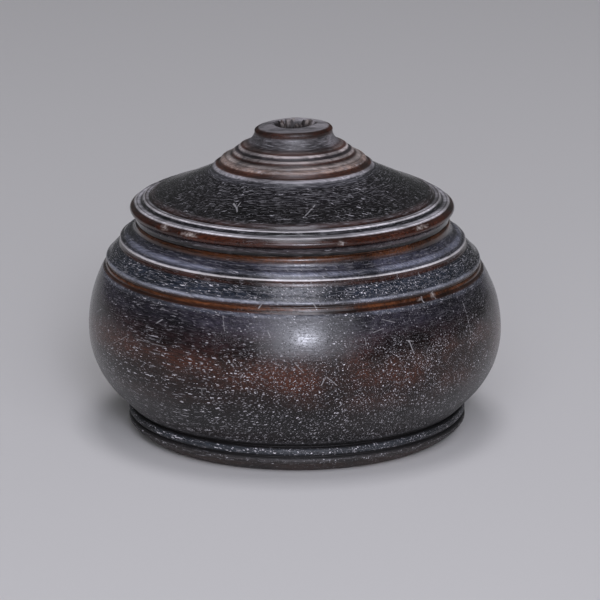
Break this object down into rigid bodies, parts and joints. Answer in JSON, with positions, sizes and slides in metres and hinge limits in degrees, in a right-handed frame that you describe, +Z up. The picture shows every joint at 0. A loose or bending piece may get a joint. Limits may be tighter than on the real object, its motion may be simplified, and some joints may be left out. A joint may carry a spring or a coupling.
{
  "type": "turned wooden lidded box",
  "caption": "Squat round turned hardwood box with moulded shoulder, ringed foot and a lift-off domed lid with a stepped knob.",
  "frame": {"origin": "centre of the ring that the foot stands on", "axes": "+Z up along the turning axis, which the lid lifts along"},
  "size_m": [0.1, 0.1, 0.0756],
  "materials": {
    "body_wood": "dark dense open-pored hardwood, hand-polished, rubbed pale on the ridges",
    "lid_wood": "dark dense open-pored hardwood, hand-polished, worn pale on the ridges and the knob"
  },
  "bodies": {
    "bowl": {"box_body": "body_wood"},
    "cover": {"lid": "lid_wood"}
  },
  "joints": [
    {"name": "lid_lift", "type": "slide", "parent": "bowl", "child": "cover", "axis": [0, 0, 1], "range_m": [0, 0.05]}
  ]
}
